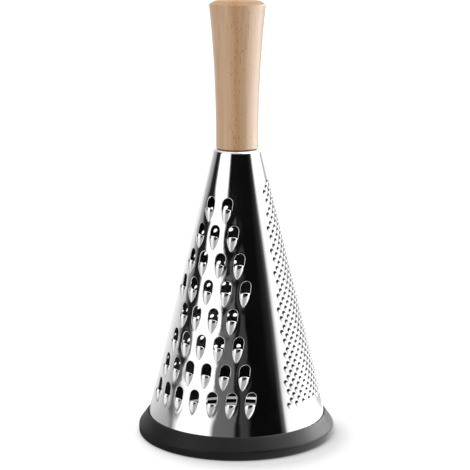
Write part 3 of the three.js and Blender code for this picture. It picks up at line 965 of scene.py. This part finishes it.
def dull_shaded_steel():
    """Unpolished inside of the cone, with its tint darkened as painted shade of the hollow, and
    painted shade darker still near the foot.
    """
    material, n, place, grain, tint = steel(
        "dull_shaded_steel", DULL_SHADED_TINTS,
        cloud_scale=60, grain_scales=(300, 300, 2500), grain_detail=3)
    # Painted shade, darker towards the foot of the cone's inside
    foot_shade = n.range(n.parts(place)[2], PAINTED_FOOT_SHADE_HEIGHTS, (PAINTED_FOOT_SHADE_SHARE, 0))
    n.finish(Base_Color=n.mix(foot_shade, tint, PAINTED_FOOT_SHADE_TINT), Metallic=1.0,
             Roughness=n.range(grain, NOISE_SPAN, DULL_ROUGHNESS),
             Normal=n.bump(grain, STEEL_BUMP, GRAIN_DEPTH))
    return material


def plain_steel():
    """Plain finish of the fittings inside the neck."""
    material, n, _, grain, tint = steel(
        "plain_steel", PLAIN_TINTS,
        cloud_scale=150, grain_scales=(400, 400, 4000), grain_detail=3)
    n.finish(Base_Color=tint, Metallic=1.0, Roughness=n.range(grain, NOISE_SPAN, PLAIN_ROUGHNESS),
             Normal=n.bump(grain, STEEL_BUMP, GRAIN_DEPTH))
    return material


def beech(name, roughness, **gloss):
    """Fine upright fibres, reddish growth bands, one of them in front, and dark flecks in them."""
    material, n = new_material(name)
    place = n.place()
    fibre = n.stretched_noise(place, FIBRE_SCALES, detail=4, roughness=0.6)
    drift = n.stretched_noise(place, DRIFT_SCALES, detail=2, shift=DRIFT_SHIFT)
    aside = n.maths("ADD", n.parts(place)[0], n.range(drift, (0, 1), GROWTH_DRIFT))
    wave = n.maths("COSINE", n.times(aside, GROWTH_RATE))
    streak = n.range(wave, STREAK_SPAN, (0, STREAK_SHARE))
    growth = n.range(wave, GROWTH_SPAN)
    tone = n.ramp(fibre, BEECH_TONES)
    tone = n.mix(n.times(growth, GROWTH_SHARE), tone, GROWTH_TONE)
    tone = n.mix(streak, tone, STREAK_TONE)
    flecks = n.stretched_noise(place, FLECK_SCALES, detail=1)
    flecks = n.maths("ADD", flecks, n.range(growth, (0, 1), (-FLECK_BIAS, FLECK_BIAS)))
    dark = n.range(flecks, FLECK_SPAN, (0, FLECK_SHARE))
    tone = n.mix(dark, tone, FLECK_TONE)
    height = n.maths("SUBTRACT", fibre, dark)
    n.finish(Base_Color=tone, Roughness=n.range(fibre, FIBRE_SPAN, roughness),
             Normal=n.bump(height, FIBRE_BUMP, FIBRE_DEPTH), **gloss)
    return material


def black_rubber():
    """Satin black with a fine grain."""
    material, n = new_material("black_rubber")
    place = n.place()
    grain = n.noise(place, scale=2600, detail=2)
    cloud = n.noise(place, scale=60, detail=CLOUD_DETAIL)
    tint = n.ramp(cloud, list(zip(NOISE_SPAN, RUBBER_TINTS)))
    n.finish(Base_Color=tint, Roughness=n.range(cloud, NOISE_SPAN, RUBBER_ROUGHNESS),
             Normal=n.bump(grain, RUBBER_BUMP, GRAIN_DEPTH), Specular_IOR_Level=0.3)
    return material


# Room: levels as (azimuth in degrees, level), and the elevations in degrees over which a part of
# the room begins or ends

STUDIO_PEAK = 14.0
STUDIO_LEFT = [
    (-180, 0.85), (-160, 0.8), (-150, 0.72), (-140, 0.6), (-128, 0.45), (-116, 0.3),
]
STUDIO_RIGHT = [
    (76, 1.2), (127, 1.2), (131, 1.1), (136, 0.42), (147, 0.42), (153, 0.8), (180, 0.8),
]
STUDIO_HIGH = STUDIO_LEFT + [
    (-109, 0.1), (-106, 0.016), (-88, 0.012), (-83.5, 0.2), (-79.5, 1.25), (-33, 1.25),
    (-30, 0.35), (-26.5, 0.004), (46, 0.004), (60, 0.02), (66.5, 0.1), (71, 0.8),
] + STUDIO_RIGHT
STUDIO_LOW = STUDIO_LEFT + [
    (-108, 0.22), (-92, 0.2), (-82, 1.25), (-36, 1.25), (-30, 0.15), (-4.5, 0.13), (-2, 0.008),
    (3, 0.008), (5.5, 0.05), (14, 0.045), (17.5, 0.003), (60, 0.003), (66, 0.12), (69, 1.0),
] + STUDIO_RIGHT
HIGH_FROM = (15.3, 17.3)
HIGH_TILT = 0.15
STRIP_LIGHT = [(76, 0), (90, 7), (104, 11), (122, 11), (129, 0)]
STRIP_LIGHT_FROM = (11, 15)
STRIP_LIGHT_TO = (26, 32)
RIM_LIGHT = [(106, 0), (118, 9), (150, 9), (172, 0)]
RIM_LIGHT_FROM = (7, 10)
RIM_LIGHT_TO = (20, 27)
RIM_LIGHT_MATT_SHARE = 0.1
CEILING = [
    (-180, 1.0), (-150, 1.0), (-60, 1.0), (-25, 0.5), (25, 0.5), (70, 1.3), (130, 1.5), (180, 1.0),
]
CEILING_FROM = (30, 45)
ZENITH_LEVEL = 1.4
ZENITH_FROM = (58, 74)
UPPER_LIGHT = [(30, 0), (52, 1.4), (76, 2.6), (94, 1.2), (108, 0)]
UPPER_LIGHT_FROM = (30, 40)
MATT_SHARE = [(40, 1), (70, 0.75), (95, 0.5), (150, 0.5), (178, 1)]
MATT_FRONT = [(-80, 0), (-30, 0.7), (50, 0.75), (80, 0)]
MATT_FRONT_FROM = (20, 40)
WHITE = (1, 1, 1, 1)

# Floor: the painted light and shade that shiny pieces show of it, as levels by direction, and the
# distances over which they change
FLOOR_REACH = 30.0
FLOOR_COLOUR = (0.8, 0.8, 0.8, 1)
# Painted shadow: the white fill that the camera sees is weaker within these distances of a spot in
# front of and right of the middle
PAINTED_SHADOW_PLACE = (0.008, -0.012, 0)
PAINTED_SHADOW_EDGE = (0.05, 0.076)
PAINTED_SHADOW_FILL = (0.1, 0.5)
FLOOR_PEAK = 3.0
FLOOR_PAINTED_LEVELS = [
    (-180, 1), (-150, 0.95), (-135, 0.82), (-120, 0.66), (-108, 0.5), (-98, 0.4), (-88, 0.55),
    (-80, 0.95), (-36, 0.95), (-24, 0.5), (-12, 0.42), (20, 0.42), (45, 0.6), (65, 1.1), (95, 1.6),
    (110, 1.8), (120, 1.3), (129, 0.72), (147, 0.62), (155, 0.85), (180, 1),
]
FLOOR_PAINTED_LEVELS_BESIDE = [
    (-180, 0.5), (-120, 0.22), (-40, 0.2), (0, 0.5), (25, 1.1), (70, 2.8), (110, 3.0),
    (150, 1.6), (180, 0.5),
]
BESIDE_EDGE = (0.07, 0.095)
PAINTED_SHADE_UNDER_EDGE = (0.044, 0.046)

# Lamp at the right
SIDE_LAMP_SIZE = (0.9, 0.18)
SIDE_LAMP_POWER = 1.5
SIDE_LAMP_AZIMUTH = 93
SIDE_LAMP_REACH = 0.5
SIDE_LAMP_HEIGHT = 0.1
SIDE_LAMP_AIM = (0, 0, 0.2)


def studio():
    """A white tent with dark gaps, which the steel shows, and plain white behind the object."""
    world = bpy.data.worlds.new("studio")
    world.use_nodes = True
    scene.world = world
    n = Nodes(world.node_tree)
    way = n.parts(n.add("ShaderNodeTexCoord").outputs["Generated"])
    azimuth = n.azimuth(way)
    elevation = n.maths("DEGREES", n.maths("ARCSINE", way[2]))
    path = n.add("ShaderNodeLightPath").outputs
    glossy = path["Is Glossy Ray"]
    walls = partial(n.turn_ramp, azimuth, peak=STUDIO_PEAK)

    def rise(span):
        return n.range(elevation, span)

    def fall(span):
        return n.range(elevation, span, (1, 0))

    # The steel shows a lower part of the room towards its sides, so the change of height follows
    aside = n.times(n.maths("ABSOLUTE", azimuth), math.degrees(HIGH_TILT))
    high = n.range(n.maths("ADD", elevation, aside), HIGH_FROM)
    light = n.mix(high, walls(STUDIO_LOW), walls(STUDIO_HIGH))

    # A bright strip that only shiny pieces show, and a wider rim that matt ones show faintly
    strip = n.times(n.times(rise(STRIP_LIGHT_FROM), fall(STRIP_LIGHT_TO)), glossy)
    light = n.mix(strip, light, walls(STRIP_LIGHT), "ADD")
    rim = n.times(rise(RIM_LIGHT_FROM), fall(RIM_LIGHT_TO))
    rim = n.times(rim, n.range(glossy, (0, 1), (RIM_LIGHT_MATT_SHARE, 1)))
    light = n.mix(rim, light, walls(RIM_LIGHT), "ADD")

    light = n.mix(rise(CEILING_FROM), light, walls(CEILING))
    light = n.mix(rise(ZENITH_FROM), light, (ZENITH_LEVEL / STUDIO_PEAK,) * 3)
    light = n.mix(n.times(rise(UPPER_LIGHT_FROM), glossy), light, walls(UPPER_LIGHT), "ADD")

    # Matt pieces get less light from the right and more from the front
    matt = n.range(glossy, (0, 1), (1, 0))
    light = n.mix(matt, light, n.turn_ramp(azimuth, MATT_SHARE), "MULTIPLY")
    light = n.mix(n.times(matt, rise(MATT_FRONT_FROM)), light, walls(MATT_FRONT), "ADD")

    room = n.add("ShaderNodeBackground", {"Color": light, "Strength": STUDIO_PEAK})
    behind = n.add("ShaderNodeBackground", {"Color": WHITE, "Strength": 1.0})
    both = n.add("ShaderNodeMixShader", {
        0: path["Is Camera Ray"], 1: room.outputs[0], 2: behind.outputs[0]})
    n.add("ShaderNodeOutputWorld", {"Surface": both.outputs[0]})


def floor():
    """A white floor with the object's shadow, partly cast and partly painted by a weaker white
    fill near the object, and with a painted glow of light and shade that only reflections show.
    """
    mesh = bpy.data.meshes.new("floor")
    corners = [(x * FLOOR_REACH, y * FLOOR_REACH, 0)
               for x, y in ((-1, -1), (1, -1), (1, 1), (-1, 1))]
    mesh.from_pydata(corners, [], [(0, 1, 2, 3)])
    plane = bpy.data.objects.new("floor", mesh)
    scene.collection.objects.link(plane)
    material, n = new_material("white_floor")
    path = n.add("ShaderNodeLightPath").outputs
    mirrored = n.maths("MAXIMUM", path["Is Glossy Ray"], path["Is Transmission Ray"])
    place = n.place()
    ground = partial(n.turn_ramp, n.azimuth(n.parts(place)), peak=FLOOR_PEAK)
    middle = n.add("ShaderNodeVectorMath", {0: place}, operation="LENGTH").outputs["Value"]
    # Painted shadow: less white fill for the camera near a spot in front of the object, added to
    # the shadow the lit floor casts
    painted_shadow_distance = n.add(
        "ShaderNodeVectorMath", {0: place, 1: PAINTED_SHADOW_PLACE}, operation="DISTANCE").outputs["Value"]
    fill = n.times(path["Is Camera Ray"], n.range(painted_shadow_distance, PAINTED_SHADOW_EDGE, PAINTED_SHADOW_FILL))
    matt = n.add("ShaderNodeBsdfDiffuse", {"Color": FLOOR_COLOUR})
    white = n.add("ShaderNodeEmission", {"Color": WHITE, "Strength": fill})
    bare = n.add("ShaderNodeAddShader", {0: matt.outputs[0], 1: white.outputs[0]})
    # Painted light and shade for reflections: the floor glows by direction, with other levels
    # beside the object and none under the cone
    painted_levels = n.mix(n.range(middle, BESIDE_EDGE), ground(FLOOR_PAINTED_LEVELS_BESIDE), ground(FLOOR_PAINTED_LEVELS))
    level = n.range(middle, PAINTED_SHADE_UNDER_EDGE, (0, FLOOR_PEAK))
    glow = n.add("ShaderNodeEmission", {"Color": painted_levels, "Strength": level})
    both = n.add("ShaderNodeMixShader", {0: mirrored, 1: bare.outputs[0], 2: glow.outputs[0]})
    n.add("ShaderNodeOutputMaterial", {"Surface": both.outputs[0]})
    mesh.materials.append(material)


def side_lamp(grip):
    """A low softbox at the right, whose shine only the varnished handle shows."""
    data = bpy.data.lights.new("side_lamp", "AREA")
    data.shape = "RECTANGLE"
    data.size, data.size_y = SIDE_LAMP_SIZE
    data.energy = SIDE_LAMP_POWER
    lamp = bpy.data.objects.new("side_lamp", data)
    scene.collection.objects.link(lamp)
    turn = math.radians(SIDE_LAMP_AZIMUTH)
    place = Vector((
        SIDE_LAMP_REACH * math.sin(turn), -SIDE_LAMP_REACH * math.cos(turn), SIDE_LAMP_HEIGHT))
    facing = (Vector(SIDE_LAMP_AIM) - place).to_track_quat("-Z", "Y")
    lamp.matrix_world = Matrix.Translation(place) @ facing.to_matrix().to_4x4()
    lamp.visible_diffuse = False
    lamp.visible_camera = False
    receivers = bpy.data.collections.new("side_lamp_receivers")
    receivers.objects.link(grip)
    lamp.light_linking.receiver_collection = receivers


def camera():
    """The photograph's camera."""
    data = bpy.data.cameras.new("camera")
    data.sensor_width = SENSOR_WIDTH
    data.lens = FOCAL_PIXELS / IMAGE_PIXELS * SENSOR_WIDTH
    data.clip_end = CLIP_END
    eye = bpy.data.objects.new("camera", data)
    scene.collection.objects.link(eye)
    tilt = Matrix.Rotation(math.pi / 2 - CAMERA_PITCH, 4, "X")
    turn = tilt @ Matrix.Rotation(CAMERA_ROLL, 4, "Z")
    eye.matrix_world = Matrix.Translation(Vector(CAMERA_PLACE) * MM) @ turn
    scene.camera = eye


camera()
studio()
floor()
scene.view_settings.view_transform = "Standard"

grater_cone()
side_lamp(handle())
foot_ring().data.materials.append(black_rubber())
fittings_steel = plain_steel()
for name in ("neck_cup", "screw_washer", "handle_screw"):
    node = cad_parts[name]
    node.data.materials.clear()
    node.data.materials.append(fittings_steel)
